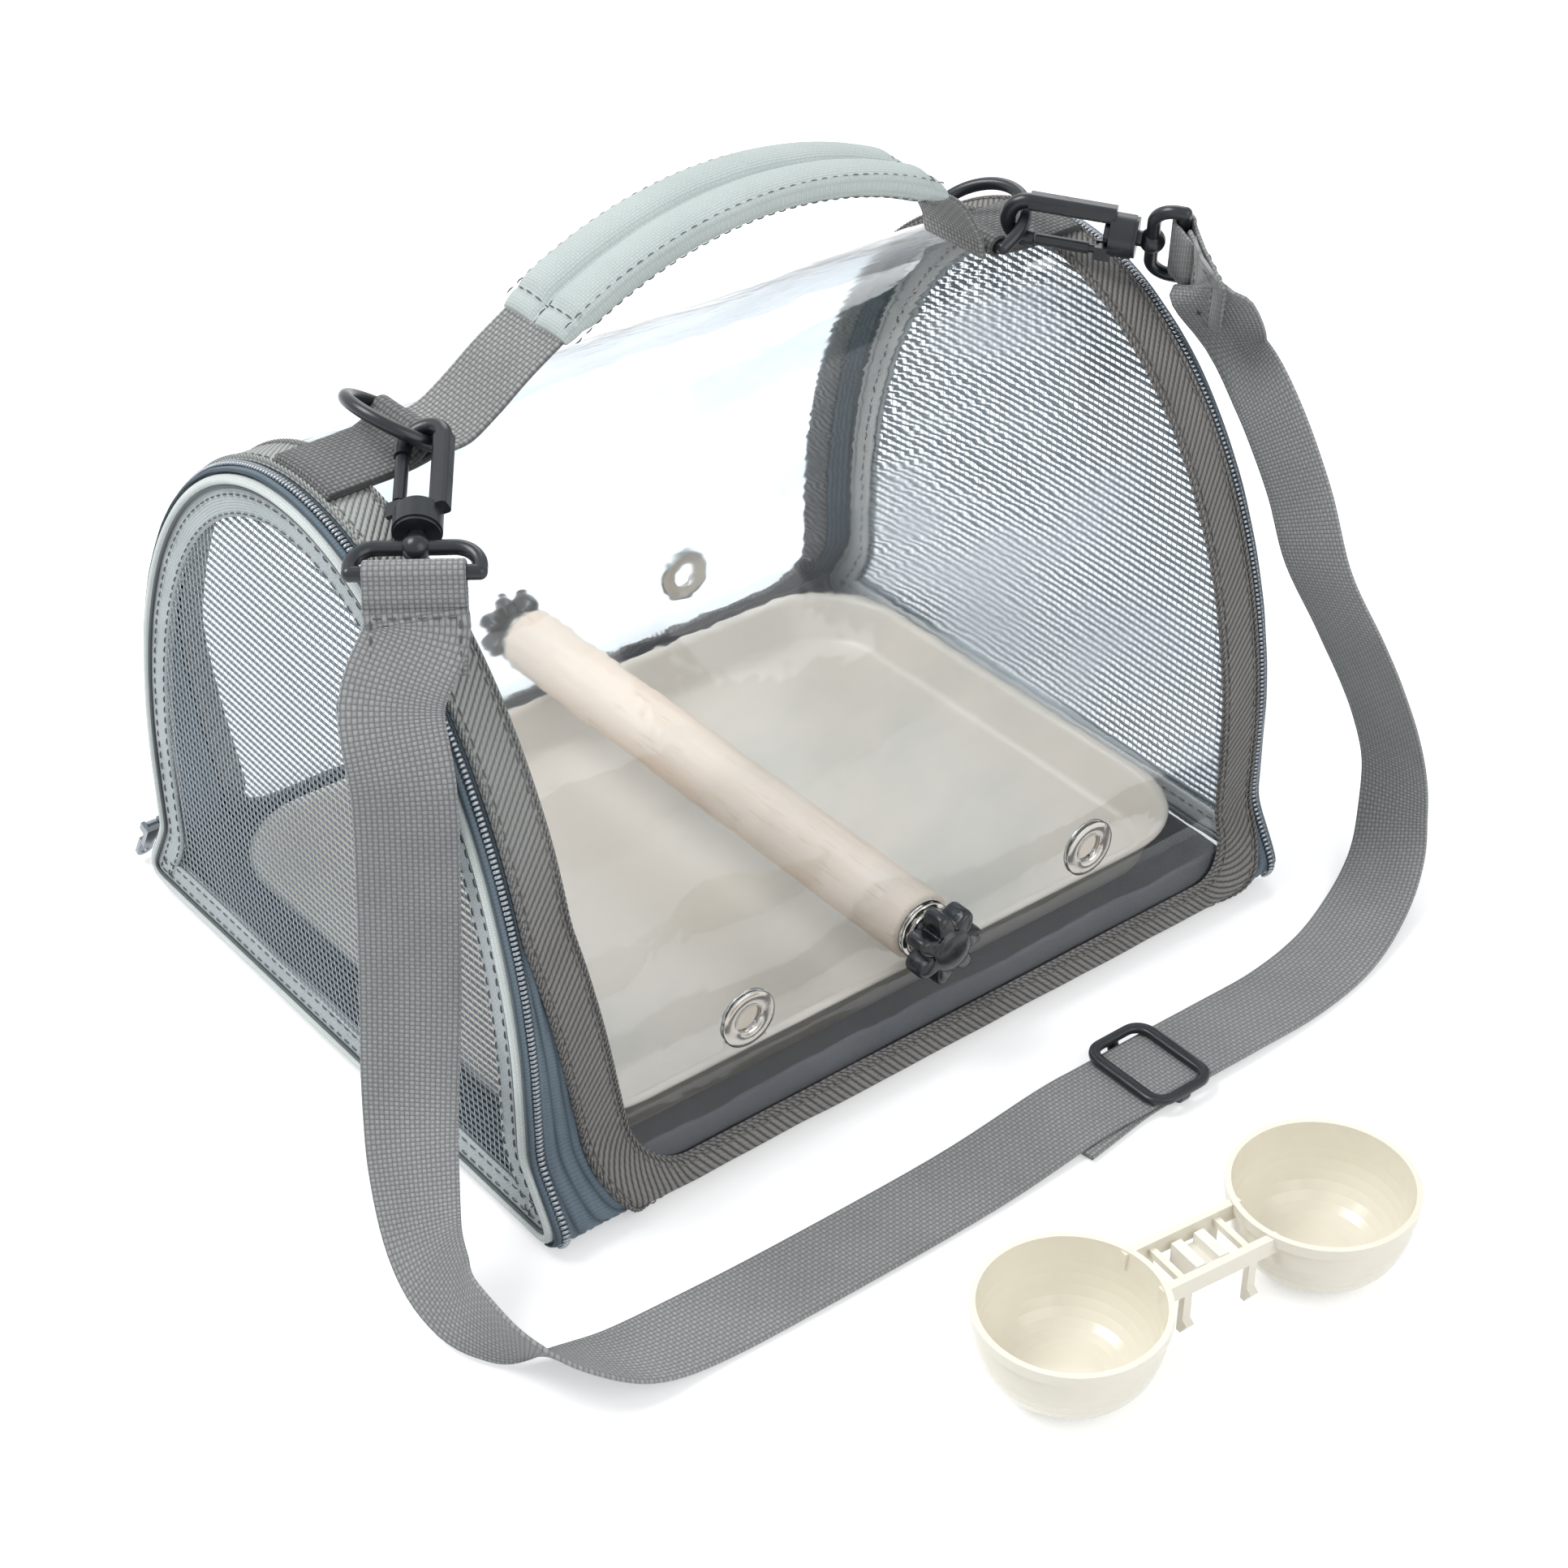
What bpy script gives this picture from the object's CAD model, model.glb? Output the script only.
import math

import bmesh
import bpy
import numpy as np
from mathutils import Matrix, Vector


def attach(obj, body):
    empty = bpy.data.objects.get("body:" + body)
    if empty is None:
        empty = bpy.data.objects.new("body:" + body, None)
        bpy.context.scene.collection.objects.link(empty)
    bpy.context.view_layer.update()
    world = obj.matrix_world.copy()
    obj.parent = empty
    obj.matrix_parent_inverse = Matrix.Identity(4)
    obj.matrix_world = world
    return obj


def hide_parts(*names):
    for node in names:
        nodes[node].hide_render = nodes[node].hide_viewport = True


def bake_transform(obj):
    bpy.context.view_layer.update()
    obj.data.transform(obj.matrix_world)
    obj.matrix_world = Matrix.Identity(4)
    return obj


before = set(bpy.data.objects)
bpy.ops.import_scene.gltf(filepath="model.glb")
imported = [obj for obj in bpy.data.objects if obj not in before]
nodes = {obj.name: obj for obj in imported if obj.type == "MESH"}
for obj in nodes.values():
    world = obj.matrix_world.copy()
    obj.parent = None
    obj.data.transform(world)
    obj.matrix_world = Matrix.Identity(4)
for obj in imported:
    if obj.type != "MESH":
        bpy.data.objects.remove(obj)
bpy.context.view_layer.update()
MM = 0.001

# The numbers that part.scad and this scene share, in millimetres.
ARCH_HALF, RIDGE_Z, FOOT_HALF, LEAN = 95.0, 178.0, 105.5, 10.0
PERCH_Z, EYELET_GAP = 38.0, 60.0
RING_Z = RIDGE_Z + 3.4
WEB_W, STRAP_T = 25.0, 1.3
# Half lengths along the ridge: the tape's two edges, the clear sheet, the zip's split and the zip's end.
TAPE_INNER, TAPE_OUTER, SHEET_HALF, ZIP_SPLIT, ZIP_END = 110, 124, 119, 126, 128.8
GLIDE_PLACE = np.array([38.0, -144, 0])
SIDES, FACES = (("left", -1), ("right", 1)), (("front", -1), ("back", 1))

# The camera's angles in degrees, its lens in millimetres, and its aim and distance in metres.
VIEW_AZIMUTH, VIEW_ELEVATION, VIEW_LENS = -38.5, 35, 70.8
VIEW_TARGET, VIEW_DISTANCE = (-0.0066, -0.0416, 0.060), 0.8447


def unit(v):
    v = np.asarray(v, float)
    return v / np.maximum(np.linalg.norm(v, axis=-1, keepdims=True), 1e-12)


def add_object(name, data):
    made = bpy.data.objects.new(name, data)
    bpy.context.scene.collection.objects.link(made)
    return made


# ---- camera at the photograph's viewing angle ----
def add_camera():
    azimuth, elevation = math.radians(VIEW_AZIMUTH), math.radians(VIEW_ELEVATION)
    back = Vector((math.sin(azimuth) * math.cos(elevation),
                   -math.cos(azimuth) * math.cos(elevation), math.sin(elevation)))
    data = bpy.data.cameras.new("photo_camera")
    data.sensor_width = 36
    data.lens = VIEW_LENS
    data.clip_start, data.clip_end = 0.05, 20
    camera = add_object("photo_camera", data)
    camera.location = Vector(VIEW_TARGET) + back * VIEW_DISTANCE
    camera.rotation_mode = "QUATERNION"
    camera.rotation_quaternion = (-back).to_track_quat("-Z", "Y")
    bpy.context.scene.camera = camera


# ---- mesh tools ----
def build(name, verts, faces, corners, material, body, slot=None, smooth=True):
    """A piece from points in millimetres, faces and one UV pair for each corner of each face."""
    mesh = bpy.data.meshes.new(name)
    mesh.from_pydata((np.asarray(verts, float).reshape(-1, 3) * MM).tolist(), [], faces)
    layer = mesh.uv_layers.new(name="UVMap")
    layer.data.foreach_set("uv", (np.asarray(corners, float).reshape(-1, 2) * MM).ravel())
    bm = bmesh.new()
    bm.from_mesh(mesh)
    bmesh.ops.delete(bm, geom=[v for v in bm.verts if not v.link_faces], context="VERTS")
    bmesh.ops.recalc_face_normals(bm, faces=bm.faces)
    bm.to_mesh(mesh)
    bm.free()
    mesh.polygons.foreach_set("use_smooth", [smooth] * len(mesh.polygons))
    mesh.materials.append(material)
    piece = add_object(name, mesh)
    if body:
        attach(piece, body)
    return piece


class Joined:
    """Parts gathered into the points, faces and corner UVs of one piece."""

    def __init__(self):
        self.verts, self.faces, self.corners, self.count = [], [], [], 0

    def add(self, points, found):
        points = np.asarray(points, float).reshape(-1, 3)
        self.verts.append(points)
        self.faces += [tuple(k + self.count for k in face) for face in found[0]]
        self.corners += found[1]
        self.count += len(points)

    def build(self, name, material, body, slot=None):
        return build(name, np.vstack(self.verts), self.faces, self.corners, material, body, slot)


def lengths(points):
    return np.concatenate([[0], np.cumsum(np.linalg.norm(np.diff(points, axis=0), axis=1))])


def tube_faces(count, sides, u, v, closed=False):
    """Faces and corner UVs of a tube of rings. u is by ring and v by point of a ring."""
    faces, corners = [], []
    for i in range(count if closed else count - 1):
        k = (i + 1) % count
        for j in range(sides):
            m = (j + 1) % sides
            faces.append((i * sides + j, k * sides + j, k * sides + m, i * sides + m))
            corners += [(u[i], v[j]), (u[i + 1], v[j]), (u[i + 1], v[m]), (u[i], v[m])]
    if not closed:
        for i, order in ((0, range(sides)), (count - 1, range(sides - 1, -1, -1))):
            faces.append(tuple(i * sides + j for j in order))
            corners += [(u[i], v[j]) for j in order]
    return faces, corners


def sweep(name, path, across, outward, profile, material, body, slot=None, closed=False):
    """A closed profile of (across, outward) pairs carried along a path."""
    profile = np.asarray(profile, float)
    rings = (path[:, None] + profile[None, :, 0, None] * across[:, None]
             + profile[None, :, 1, None] * outward[:, None])
    u = lengths(np.vstack([path, path[:1]])) if closed else lengths(path)
    faces, corners = tube_faces(len(path), len(profile), u, profile[:, 0], closed)
    return build(name, rings, faces, corners, material, body, slot)


def cloth_parts(points, normals, thick, u, v, wrap=False, keep=None):
    """Verts, faces and UVs of a sheet with thickness. points is a grid and keep says which cells stay."""
    n, m = points.shape[:2]
    thick = np.broadcast_to(thick, (n, m))[..., None]
    verts = np.concatenate([(points + normals * thick / 2).reshape(-1, 3),
                            (points - normals * thick / 2).reshape(-1, 3)])
    under = n * m
    faces, corners, edges = [], [], {}
    for i in range(n if wrap else n - 1):
        k = (i + 1) % n
        for j in range(m - 1):
            if keep is not None and not keep[i, j]:
                continue
            cell = [i * m + j, k * m + j, k * m + j + 1, i * m + j + 1]
            uv = [(u[i], v[j]), (u[i + 1], v[j]), (u[i + 1], v[j + 1]), (u[i], v[j + 1])]
            faces.append(tuple(cell))
            corners += uv
            faces.append(tuple(c + under for c in reversed(cell)))
            corners += uv[::-1]
            for a in range(4):
                b = (a + 1) % 4
                key = frozenset((cell[a], cell[b]))
                edges[key] = None if key in edges else (cell[a], cell[b], uv[a], uv[b])
    for edge in edges.values():
        if edge:
            a, b, uv_a, uv_b = edge
            faces.append((b, a, a + under, b + under))
            corners += [uv_b, uv_a, uv_a, uv_b]
    return verts, faces, corners


def cloth(name, points, normals, thick, u, v, material, body, slot=None, wrap=False, keep=None):
    return build(name, *cloth_parts(points, normals, thick, u, v, wrap, keep), material, body, slot)


def lathe(name, profiles, centres, axis, material, body, slot=None, sides=64):
    """Turned parts about one axis. Each profile is a closed loop of (radius, height) pairs."""
    axis = unit(axis)
    first = unit(np.cross(axis, [0.3, 0.5, 0.81]))
    second = np.cross(axis, first)
    turn = np.linspace(0, 2 * math.pi, sides + 1)[:-1]
    round_way = np.cos(turn)[:, None] * first + np.sin(turn)[:, None] * second
    joined = Joined()
    for profile, centre in zip(profiles, centres):
        profile = np.asarray(profile, float)
        rings = (np.asarray(centre, float) + profile[None, :, 0, None] * round_way[:, None]
                 + profile[None, :, 1, None] * axis)
        v = lengths(profile)
        u = np.arange(sides + 1) * 2 * math.pi * profile[:, 0].max() / sides
        joined.add(rings, tube_faces(sides, len(profile), u, v, closed=True))
    return joined.build(name, material, body, slot)


def stacked(name, rings, material, body, slot=None):
    """A closed form through rings of points, closed by a face at both ends."""
    rings = np.asarray(rings, float)
    around = lengths(np.vstack([rings[0], rings[0][:1]]))[:-1]
    faces, corners = tube_faces(len(rings), rings.shape[1], lengths(rings[:, 0]), around)
    return build(name, rings, faces, corners, material, body, slot)


def stitches(name, rows, material, body, slot=None, long=2.7, gap=1.1, thick=0.28):
    """Rows of sewn stitches. Each row is (path, normals, closed)."""
    joined = Joined()
    turn = np.arange(5) * 2 * math.pi / 5
    for path, normals, closed in rows:
        line = np.vstack([path, path[:1]]) if closed else path
        side = np.vstack([normals, normals[:1]]) if closed else normals
        run = lengths(line)
        count = max(1, int(run[-1] / (long + gap)))
        for i in range(count):
            start = (i + 0.15) * run[-1] / count
            at = start + np.array([0, 0.12, 0.5, 0.88, 1]) * long
            centre = np.stack([np.interp(at, run, line[:, k]) for k in range(3)], 1)
            up = unit(np.stack([np.interp(at, run, side[:, k]) for k in range(3)], 1))
            along = unit(centre[-1] - centre[0])
            beside = np.cross(along, up)
            size = np.array([0.25, 0.85, 1, 0.85, 0.25]) * thick
            lift = np.array([-0.1, 0.1, 0.22, 0.1, -0.1])
            ring = (centre[:, None] + lift[:, None, None] * up[:, None]
                    + size[:, None, None] * (np.cos(turn)[None, :, None] * beside[:, None]
                                             + np.sin(turn)[None, :, None] * up[:, None]))
            joined.add(ring, tube_faces(5, 5, at - at[0], turn))
    return joined.build(name, material, body, slot)


def rounded(width, thick, ends=5):
    """Cross-section of flat webbing: a bar of the given width with softly rounded edges."""
    a, b = width / 2, thick / 2
    turn = np.linspace(-math.pi / 2, math.pi / 2, ends)
    right = [(a - b + b * math.cos(t), b * math.sin(t)) for t in turn]
    middle = np.linspace(a - b, b - a, 9)[1:-1]
    top = [(x, b) for x in middle]
    left = [(-x, -y) for x, y in right]
    bottom = [(-x, -b) for x in middle]
    return right + top + left + bottom


def rounded_rectangle(x, y, r, z, n=9):
    turn = np.radians(np.linspace(0, 90, n))
    corners = [(x - r, y - r, 0), (r - x, y - r, 90), (r - x, r - y, 180), (x - r, r - y, 270)]
    return [(cx + r * math.cos(t + math.radians(a)), cy + r * math.sin(t + math.radians(a)), z)
            for cx, cy, a in corners for t in turn]


def noise(*sizes, seed=0, waves=9):
    """A smooth repeatable field: sine waves of random heading. sizes are wave lengths in millimetres."""
    rng = np.random.default_rng(seed)
    parts = [(unit(rng.normal(size=3)) * 2 * math.pi / (size * rng.uniform(0.7, 1.4)), rng.uniform(0, 6.28),
              size / sizes[0]) for size in sizes for _ in range(waves)]

    def field(points):
        total = sum(w * np.sin(points @ k + p) for k, p, w in parts)
        return total / (waves * sum(s / sizes[0] for s in sizes)) * 2
    return field


# ---- the arch that the bag is bent to ----
def arch(d):
    """The CAD outline in the YZ plane, inwards by d: back foot, over the ridge, front foot."""
    r = max(1, 8 - d)
    c = FOOT_HALF - d - r
    turn = np.radians(np.arange(270, 361, 6))
    foot = np.stack([c + r * np.cos(turn), d + r + r * np.sin(turn)], 1)
    over = np.radians(np.linspace(0, 180, 121))
    top = np.stack([(ARCH_HALF - d) * np.cos(over), 46 + (RIDGE_Z - 46 - d) * np.sin(over)], 1)
    side = np.array([[ARCH_HALF - d, 26.0]])
    return np.vstack([foot, side, top, side * [-1, 1], foot[::-1] * [-1, 1]])


def even(line, step, closed=False, soften=4.0):
    """The line again with points an even step apart, its corners softened."""
    line = np.vstack([line, line[:1]]) if closed else line
    run = lengths(line)
    count = int(round(run[-1] / step))
    at = np.linspace(0, run[-1], count + 1)[:count if closed else None]
    fine = np.stack([np.interp(at, run, line[:, k]) for k in range(line.shape[1])], 1)
    reach = int(3 * soften / step)
    if not reach:
        return fine
    weight = np.exp(-0.5 * (np.arange(-reach, reach + 1) * step / soften) ** 2)
    weight /= weight.sum()
    if closed:
        padded = np.vstack([fine[-reach:], fine, fine[:reach]])
    else:
        padded = np.vstack([2 * fine[0] - fine[reach:0:-1], fine, 2 * fine[-1] - fine[-2:-reach - 2:-1]])
    return np.stack([np.convolve(padded[:, k], weight, "valid") for k in range(line.shape[1])], 1)


WALL = even(arch(0), 0.5, soften=2.5)
WALL_RUN = lengths(WALL)
HALF_RUN = WALL_RUN[-1] / 2
WALL_RUN = WALL_RUN - HALF_RUN
slope = np.gradient(WALL, axis=0)
WALL_OUT = unit(np.stack([slope[:, 1], -slope[:, 0]], 1))


def wall(x, s, h=0.0):
    """Points on the bag's outside: x along the ridge, s from the ridge down the front, h outwards."""
    x, s, h = np.broadcast_arrays(np.asarray(x, float), s, h)
    y, z = (np.interp(s, WALL_RUN, WALL[:, k]) for k in range(2))
    ny, nz = (np.interp(s, WALL_RUN, WALL_OUT[:, k]) for k in range(2))
    normal = unit(np.stack([np.zeros_like(y), ny, nz], -1))
    return np.stack([x, y, z], -1) + h[..., None] * normal, normal


def height_to_run(z):
    """How far from the ridge, along the wall, the height z is."""
    half = WALL_RUN >= 0
    order = np.argsort(WALL[half, 1])
    return np.interp(z, WALL[half, 1][order], WALL_RUN[half][order])


def lean_at(s):
    """How far the left end's tape leans inwards at a place on the wall."""
    z = np.interp(np.abs(s), WALL_RUN, WALL[:, 1])
    return LEAN * np.clip((90 - z) / 63, 0, 1)


def loop(d, step=1.5, soften=2.0):
    """The closed outline of a door, inwards by d, with its outward normals in the YZ plane."""
    line = even(arch(d), step, closed=True, soften=soften)
    way = np.roll(line, -1, 0) - np.roll(line, 1, 0)
    return line, unit(np.stack([way[:, 1], -way[:, 0]], 1))


def flat3(x, line):
    """Points of the YZ plane put at x."""
    return np.stack([np.broadcast_to(x, len(line)), line[:, 0], line[:, 1]], 1)


# ---- shader node groups ----
def srgb(code):
    """A hex colour as the linear colour that a shader takes."""
    parts = [int(code[i:i + 2], 16) / 255 for i in (1, 3, 5)]
    return tuple(c / 12.92 if c <= 0.04045 else ((c + 0.055) / 1.055) ** 2.4 for c in parts) + (1.0,)


class Graph:
    """Short calls for making and joining shader nodes."""

    def __init__(self, tree):
        self.tree = tree

    def add(self, kind, **settings):
        node = self.tree.nodes.new("ShaderNode" + kind)
        for key, value in settings.items():
            setattr(node, key, value)
        return node

    def put(self, socket, value):
        if isinstance(value, bpy.types.NodeSocket):
            self.tree.links.new(value, socket)
        else:
            socket.default_value = value

    def math(self, operation, *values):
        node = self.add("Math", operation=operation)
        for socket, value in zip(node.inputs, values):
            self.put(socket, value)
        return node.outputs[0]

    def times(self, a, b):
        return self.math("MULTIPLY", a, b)

    def wave(self, value):
        return self.math("ABSOLUTE", self.math("SINE", value))

    def mix(self, factor, a, b):
        node = self.add("Mix", data_type="RGBA")
        for index, value in ((0, factor), (6, a), (7, b)):
            self.put(node.inputs[index], value)
        return node.outputs[2]

    def noise(self, vector, scale, detail=3.0, rough=0.5):
        node = self.add("TexNoise")
        self.put(node.inputs["Vector"], vector)
        for name, value in (("Scale", scale), ("Detail", detail), ("Roughness", rough)):
            self.put(node.inputs[name], value)
        return node.outputs["Fac"]

    def spread(self, value, low, high, to_low=0.0, to_high=1.0):
        node = self.add("MapRange")
        for index, item in enumerate((value, low, high, to_low, to_high)):
            self.put(node.inputs[index], item)
        return node.outputs[0]

    def stretched(self, scale, rotation=(0.0, 0.0, 0.0)):
        """Object coordinates, turned and scaled."""
        node = self.add("Mapping")
        self.put(node.inputs["Vector"], self.add("TexCoord").outputs["Object"])
        node.inputs["Rotation"].default_value = rotation
        node.inputs["Scale"].default_value = scale
        return node.outputs[0]

    def group(self, tree, **values):
        node = self.add("Group", node_tree=tree)
        for name, value in values.items():
            self.put(node.inputs[name.replace("_", " ")], value)
        return node


def new_group(name, inputs, outputs):
    tree = bpy.data.node_groups.new(name, "ShaderNodeTree")
    for title, value in inputs.items():
        kind = "NodeSocketColor" if isinstance(value, tuple) else "NodeSocketFloat"
        tree.interface.new_socket(name=title, in_out="INPUT", socket_type=kind).default_value = value
    for title in outputs:
        kind = "NodeSocketColor" if title == "Colour" else "NodeSocketFloat"
        tree.interface.new_socket(name=title, in_out="OUTPUT", socket_type=kind)
    graph = Graph(tree)
    return tree, graph, tree.nodes.new("NodeGroupInput").outputs, tree.nodes.new("NodeGroupOutput").inputs


def uv_parts(graph):
    parts = graph.add("SeparateXYZ")
    graph.put(parts.inputs[0], graph.add("UVMap", uv_map="UVMap").outputs[0])
    return parts.outputs[0], parts.outputs[1]


def axes(graph):
    parts = graph.add("SeparateXYZ")
    graph.put(parts.inputs[0], graph.add("TexCoord").outputs["Object"])
    return parts.outputs


def make_weave():
    """Plain weave in the piece's own length and width. Threads are per metre."""
    tree, g, given, out = new_group("Plain_weave", {"Warp": 900.0, "Weft": 700.0}, ["Height", "Checks"])
    along, across = uv_parts(g)
    x, y = g.times(across, given["Warp"]), g.times(along, given["Weft"])
    odd = g.math("MODULO", g.math("ABSOLUTE", g.math("ADD", g.math("FLOOR", x), g.math("FLOOR", y))), 2.0)
    wave_x, wave_y = (g.wave(g.times(k, math.pi)) for k in (x, y))
    high = g.times(g.math("POWER", wave_x, 0.5), g.math("MULTIPLY_ADD", wave_y, 0.6, 0.4))
    low = g.times(g.math("POWER", wave_y, 0.5), g.math("MULTIPLY_ADD", wave_x, 0.6, 0.15))
    g.put(out["Height"], g.math("ADD", g.times(high, odd),
                                g.times(low, g.math("SUBTRACT", 1.0, odd))))
    g.put(out["Checks"], odd)
    return tree


def make_herringbone():
    """Diagonal ribs that turn back at each fold line across the tape."""
    tree, g, given, out = new_group("Herringbone", {"Ribs": 560.0, "Fold": 0.0, "Slope": 1.2},
                                    ["Height", "Checks"])
    along, across = uv_parts(g)
    rise = g.times(g.math("ABSOLUTE", g.math("SUBTRACT", across, given["Fold"])), given["Slope"])
    turn = g.times(g.times(g.math("ADD", along, rise), given["Ribs"]), math.pi)
    wave = g.wave(turn)
    yarn = g.wave(g.times(across, 2600.0))
    g.put(out["Height"], g.times(g.math("POWER", wave, 0.7), g.math("MULTIPLY_ADD", yarn, 0.25, 0.75)))
    g.put(out["Checks"], wave)
    return tree


def make_ribbing():
    """Fine cords side by side along the piece, as on a zip tape."""
    tree, g, given, out = new_group("Ribbing", {"Cords": 500.0, "Yarns": 1100.0}, ["Height", "Checks"])
    along, across = uv_parts(g)
    cord = g.wave(g.times(g.times(across, given["Cords"]), math.pi))
    yarn = g.wave(g.times(g.times(along, given["Yarns"]), math.pi))
    g.put(out["Height"], g.times(g.math("POWER", cord, 0.6), g.math("MULTIPLY_ADD", yarn, 0.35, 0.65)))
    g.put(out["Checks"], cord)
    return tree


def make_patches():
    """Slow and fast colour change over a surface, and a soft mask for dust and handling."""
    tree, g, given, out = new_group("Patches", {
        "Colour": (0.5, 0.5, 0.5, 1.0), "Soil": (0.2, 0.2, 0.2, 1.0), "Amount": 0.3, "Size": 30.0},
        ["Colour", "Mask"])
    where = g.add("TexCoord").outputs["Object"]
    slow = g.noise(where, given["Size"], 4.0, 0.6)
    fast = g.noise(where, g.times(given["Size"], 22.0), 3.0, 0.6)
    mask = g.times(g.spread(g.math("MULTIPLY_ADD", fast, 0.4, slow), 0.55, 0.95), given["Amount"])
    g.put(out["Colour"], g.mix(mask, given["Colour"], given["Soil"]))
    g.put(out["Mask"], mask)
    return tree


def make_grain():
    """Fine moulded grain with faint scuffs, as height and as a change of roughness."""
    tree, g, given, out = new_group("Moulded_grain", {"Size": 2500.0, "Scuffs": 0.3, "Rough": 0.35},
                                    ["Height", "Rough"])
    where = g.add("TexCoord").outputs["Object"]
    fine = g.noise(where, given["Size"], 2.0, 0.6)
    scuff = g.spread(g.noise(g.stretched((1.0, 0.12, 0.5)), 420.0, 4.0, 0.7), 0.58, 0.75)
    g.put(out["Height"], fine)
    g.put(out["Rough"], g.math("ADD", given["Rough"], g.times(scuff, given["Scuffs"])))
    return tree


WEAVE, HERRINGBONE, RIBBING, PATCHES, GRAIN = (
    make_weave(), make_herringbone(), make_ribbing(), make_patches(), make_grain())


# ---- materials ----
def new_material(name):
    material = bpy.data.materials.new(name)
    material.use_nodes = True
    graph = Graph(material.node_tree)
    return material, graph, material.node_tree.nodes["Principled BSDF"]


def bump(graph, shader, height, depth, strength=1.0):
    node = graph.add("Bump")
    graph.put(node.inputs["Height"], height)
    node.inputs["Distance"].default_value = depth
    node.inputs["Strength"].default_value = strength
    graph.put(shader.inputs["Normal"], node.outputs[0])


def fabric(name, light, dark, group, depth, soil=0.25, rough=0.88, sheen=0.12, contrast=0.75, faded=None,
           **values):
    """Woven cloth: yarns lit on their crowns and dark between them, with slow shade changes.

    faded is the paler colour that the top of the left end has."""
    material, g, shader = new_material(name)
    woven = g.group(group, **values)
    patch = g.group(PATCHES, Colour=srgb(light), Soil=srgb(dark), Amount=soil, Size=38.0)
    height = woven.outputs["Height"]
    deep = g.spread(height, 0.1, 0.85, contrast, 0.0)
    colour = g.mix(deep, patch.outputs["Colour"], srgb(dark))
    if faded:
        x, _, z = axes(g)
        mask = g.times(g.spread(x, -0.09, -0.122), g.spread(z, 0.085, 0.165, 0.0, 0.75))
        colour = g.mix(mask, colour, srgb(faded))
    g.put(shader.inputs["Base Color"], colour)
    shader.inputs["Roughness"].default_value = rough
    shader.inputs["Sheen Weight"].default_value = sheen
    shader.inputs["Sheen Roughness"].default_value = 0.5
    shader.inputs["Specular IOR Level"].default_value = 0.25
    bump(g, shader, height, depth)
    return material


def woven(name, light, dark, depth, threads, **more):
    """Plain weave with as many threads each way, given per metre."""
    return fabric(name, light, dark, WEAVE, depth, Warp=threads, Weft=threads, **more)


def plastic(name, colour, soil, rough, depth, amount=0.2, size=2500.0, scuffs=0.2, coat=0.0, patch=14.0):
    material, g, shader = new_material(name)
    patches = g.group(PATCHES, Colour=srgb(colour), Soil=srgb(soil), Amount=amount, Size=patch)
    grain = g.group(GRAIN, Size=size, Scuffs=scuffs, Rough=rough)
    g.put(shader.inputs["Base Color"], patches.outputs["Colour"])
    g.put(shader.inputs["Roughness"], grain.outputs["Rough"])
    shader.inputs["Coat Weight"].default_value = coat
    shader.inputs["Coat Roughness"].default_value = 0.15
    bump(g, shader, grain.outputs["Height"], depth)
    return material


def metal(name, colour, soil, rough):
    material = plastic(name, colour, soil, rough, 0.00002, 0.35, 1800.0, 0.25)
    material.node_tree.nodes["Principled BSDF"].inputs["Metallic"].default_value = 1.0
    return material


def clear_sheet():
    """Soft clear sheet: gloss and a faint cool tint. Light passes it without a dark shadow."""
    material, g, shader = new_material("clear_sheet")
    haze = g.noise(g.stretched((1.0, 2.6, 1.3), (0.3, 0.5, 0.7)), 14.0, 4.0, 0.55)
    g.put(shader.inputs["Base Color"], g.mix(g.spread(haze, 0.45, 0.8), srgb("#f7fbfe"), srgb("#dfeaf1")))
    g.put(shader.inputs["Roughness"], g.spread(haze, 0.4, 0.8, 0.02, 0.1))
    shader.inputs["Transmission Weight"].default_value = 1.0
    shader.inputs["IOR"].default_value = 1.38
    bump(g, shader, haze, 0.002, 0.25)
    light = g.add("LightPath").outputs
    unseen = g.math("MAXIMUM", light["Is Shadow Ray"], light["Is Diffuse Ray"])
    g.put(shader.inputs["Alpha"], g.math("SUBTRACT", 1.0, g.times(unseen, 0.9)))
    return material


def birch():
    """Pale turned wood: long grain along the rod with a few darker flecks."""
    material, g, shader = new_material("birch_rod")
    along = g.stretched((1.0, 0.08, 1.0))
    grain = g.noise(along, 260.0, 5.0, 0.65)
    broad = g.noise(along, 60.0, 3.0, 0.5)
    fleck = g.spread(g.noise(along, 900.0, 2.0, 0.5), 0.62, 0.72)
    tone = g.mix(g.spread(g.math("MULTIPLY_ADD", broad, 0.6, g.times(grain, 0.5)), 0.35, 0.75),
                 srgb("#f4e6d8"), srgb("#e6cfb8"))
    g.put(shader.inputs["Base Color"], g.mix(g.times(fleck, 0.35), tone, srgb("#c39c78")))
    g.put(shader.inputs["Roughness"], g.spread(grain, 0.3, 0.7, 0.48, 0.62))
    bump(g, shader, grain, 0.00003, 0.5)
    return material


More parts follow.
